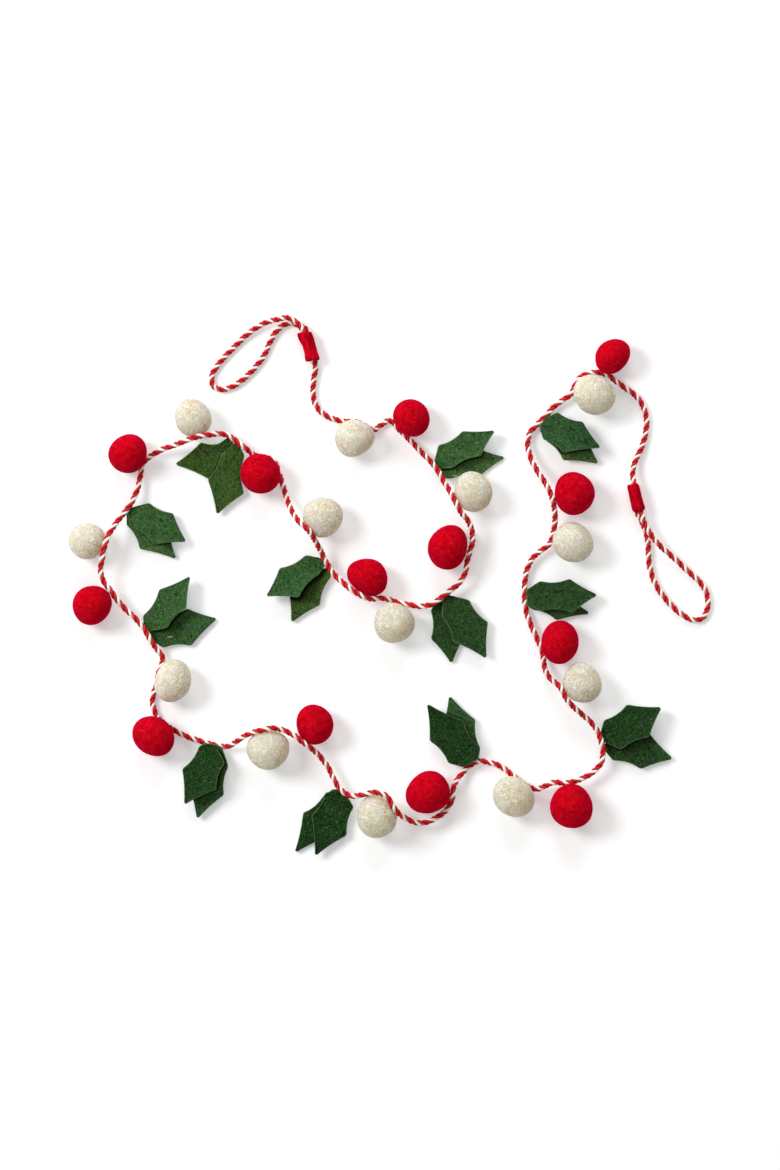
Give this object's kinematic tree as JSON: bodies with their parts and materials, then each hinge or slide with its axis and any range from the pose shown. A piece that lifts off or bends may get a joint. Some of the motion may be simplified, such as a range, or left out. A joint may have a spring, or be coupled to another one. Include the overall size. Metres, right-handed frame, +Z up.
{
  "type": "felt holly garland",
  "caption": "Twisted red and white cord with a hanging loop at each end, strung with red and cream felt balls and pairs of green felt holly leaves, lying flat in a wavy line.",
  "frame": {"origin": "middle of the laid-out garland's bounding box, on the surface that it lies on; the free cord's own tube is left out of that box", "axes": "+X along the longer side of the laid-out garland, to the right in the picture; +Y up the picture; +Z up from the surface"},
  "size_m": [0.4011, 0.3376, 0.0261],
  "materials": {
    "felt_red": "wet-felted wool, matt, deep crimson",
    "felt_cream": "wet-felted wool, matt, ivory with faint tan flecks",
    "felt_green": "thick wool felt sheet, matt, heathered dark green",
    "twisted_cord": "twisted cord, red strands with one thinner white strand, slight satin sheen"
  },
  "bodies": {
    "root": {"cord": "twisted_cord", "wrap_start": "felt_red", "wrap_end": "felt_red", "ball_cream_01": "felt_cream", "ball_cream_02": "felt_cream", "ball_cream_03": "felt_cream", "ball_cream_04": "felt_cream", "ball_cream_05": "felt_cream", "ball_cream_06": "felt_cream", "ball_cream_07": "felt_cream", "ball_cream_08": "felt_cream", "ball_cream_09": "felt_cream", "ball_cream_10": "felt_cream", "ball_cream_11": "felt_cream", "ball_cream_12": "felt_cream", "ball_cream_13": "felt_cream", "ball_red_01": "felt_red", "ball_red_02": "felt_red", "ball_red_03": "felt_red", "ball_red_04": "felt_red", "ball_red_05": "felt_red", "ball_red_06": "felt_red", "ball_red_07": "felt_red", "ball_red_08": "felt_red", "ball_red_09": "felt_red", "ball_red_10": "felt_red", "ball_red_11": "felt_red", "ball_red_12": "felt_red", "ball_red_13": "felt_red", "leaf_01_upper": "felt_green", "leaf_01_lower": "felt_green", "leaf_02_upper": "felt_green", "leaf_02_lower": "felt_green", "leaf_03_upper": "felt_green", "leaf_03_lower": "felt_green", "leaf_04_upper": "felt_green", "leaf_04_lower": "felt_green", "leaf_05_upper": "felt_green", "leaf_05_lower": "felt_green", "leaf_06_upper": "felt_green", "leaf_06_lower": "felt_green", "leaf_07_upper": "felt_green", "leaf_07_lower": "felt_green", "leaf_08_upper": "felt_green", "leaf_08_lower": "felt_green", "leaf_09_upper": "felt_green", "leaf_09_lower": "felt_green", "leaf_10_upper": "felt_green", "leaf_10_lower": "felt_green", "leaf_11_upper": "felt_green", "leaf_11_lower": "felt_green", "leaf_12_upper": "felt_green", "leaf_12_lower": "felt_green"}
  },
  "joints": []
}
